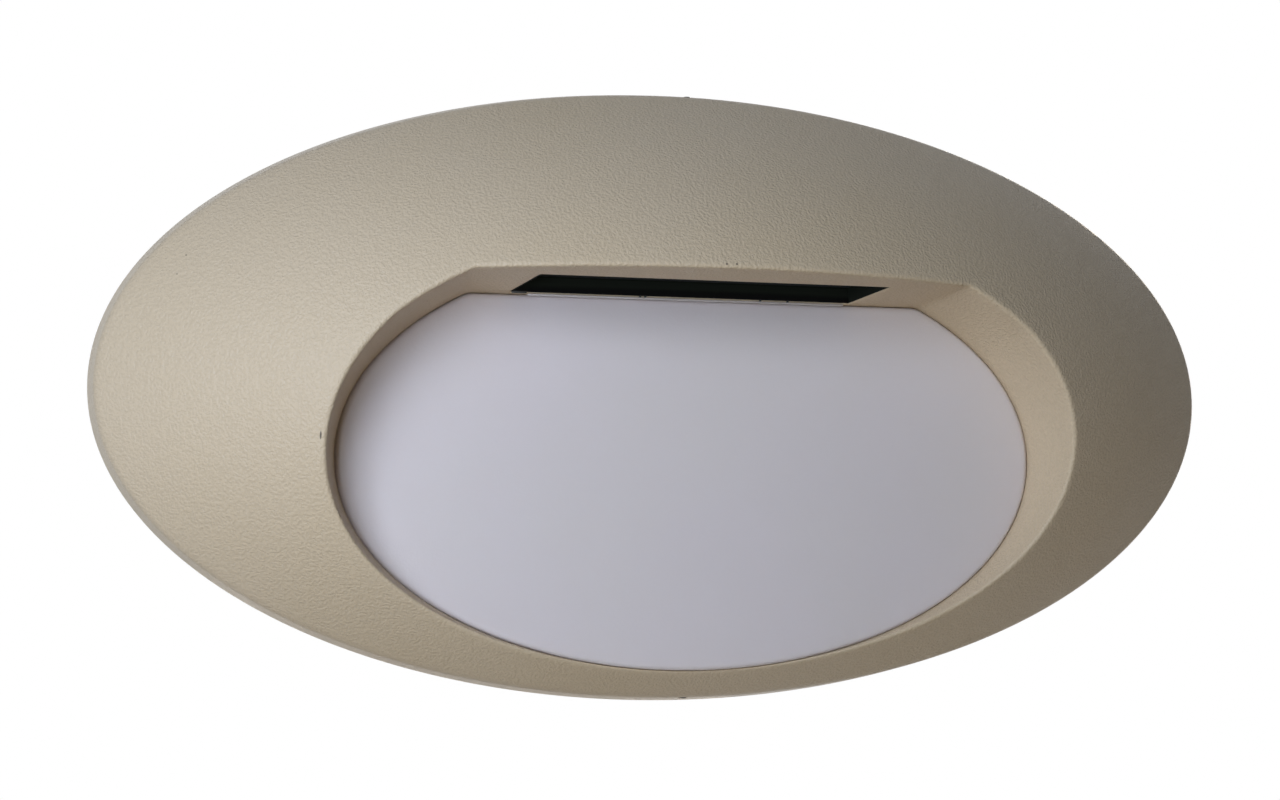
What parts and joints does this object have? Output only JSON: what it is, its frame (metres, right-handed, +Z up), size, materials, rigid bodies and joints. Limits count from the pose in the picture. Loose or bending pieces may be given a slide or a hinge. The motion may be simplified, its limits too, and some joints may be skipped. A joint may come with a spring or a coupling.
{
  "type": "wall lamp",
  "caption": "Oval domed wall lamp with a hooded D-shaped opal diffuser, a vent slot under the hood, and a cover that lifts off its wired base plate.",
  "frame": {"origin": "middle of the oval on the wall plane, at the back face of the base plate", "axes": "+X to the right as seen from the front, +Z up, the lamp stands out of the wall along -Y"},
  "size_m": [0.2898, 0.0518, 0.1538],
  "materials": {
    "shell_paint": "fine textured champagne powder coat, satin",
    "opal": "opal white, satin front",
    "silicone": "grey silicone",
    "zinc": "zinc-plated steel",
    "black_plastic": "matt black moulding",
    "cast_metal": "bare die-cast",
    "rubber": "black rubber",
    "terminal_grey": "grey moulding",
    "lever_orange": "orange moulding",
    "brass": "plain brass",
    "driver_white": "white moulding",
    "white_sheet": "white reflector paint",
    "board_white": "white solder mask on a metal-cored board",
    "lead_brown": "brown insulation",
    "lead_blue": "blue insulation",
    "lead_green": "green and yellow insulation",
    "lead_red": "red insulation",
    "lead_black": "black insulation"
  },
  "bodies": {
    "base": {"base_plate": "cast_metal", "board_connector": "white_sheet", "cable_grommet": "rubber", "cover_seal": "rubber", "driver_case": "driver_white", "driver_lid": "driver_white", "driver_screw_1": "zinc", "driver_screw_2": "zinc", "earth_nut": "brass", "earth_stud": "brass", "earth_tag": "zinc", "gear_tray": "white_sheet", "lead_earth": "lead_green", "lead_led_minus": "lead_black", "lead_led_plus": "lead_red", "lead_live": "lead_brown", "lead_neutral": "lead_blue", "led_board": "board_white", "terminal_block": "terminal_grey", "tray_screw_1": "zinc", "tray_screw_2": "zinc", "tray_screw_3": "zinc", "tray_screw_4": "zinc", "wall_gasket": "rubber"},
    "cover": {"front_shell": "shell_paint", "diffuser": "opal", "diffuser_gasket": "silicone", "diffuser_retainer": "zinc", "vent_baffle": "black_plastic", "retainer_screw_1": "zinc", "retainer_screw_2": "zinc", "retainer_screw_3": "zinc", "retainer_screw_4": "zinc", "retainer_screw_5": "zinc", "retainer_screw_6": "zinc", "baffle_screw_1": "zinc", "baffle_screw_2": "zinc", "cover_grub_1": "zinc", "cover_grub_2": "zinc"},
    "lever_earth": {"terminal_lever_1": "lever_orange"},
    "lever_neutral": {"terminal_lever_2": "lever_orange"},
    "lever_live": {"terminal_lever_3": "lever_orange"}
  },
  "joints": [
    {"name": "cover_off", "type": "slide", "parent": "base", "child": "cover", "axis": [0, -1, 0], "range_m": [0, 0.09]},
    {"name": "lever_earth_lift", "type": "hinge", "parent": "base", "child": "lever_earth", "pos_m": [-0.08783, -0.0112, 0.03361], "axis": [1, 0, 0], "range_deg": [0, 85]},
    {"name": "lever_neutral_lift", "type": "hinge", "parent": "base", "child": "lever_neutral", "pos_m": [-0.07902, -0.0112, 0.03361], "axis": [1, 0, 0], "range_deg": [0, 85]},
    {"name": "lever_live_lift", "type": "hinge", "parent": "base", "child": "lever_live", "pos_m": [-0.07022, -0.0112, 0.03361], "axis": [1, 0, 0], "range_deg": [0, 85]}
  ]
}
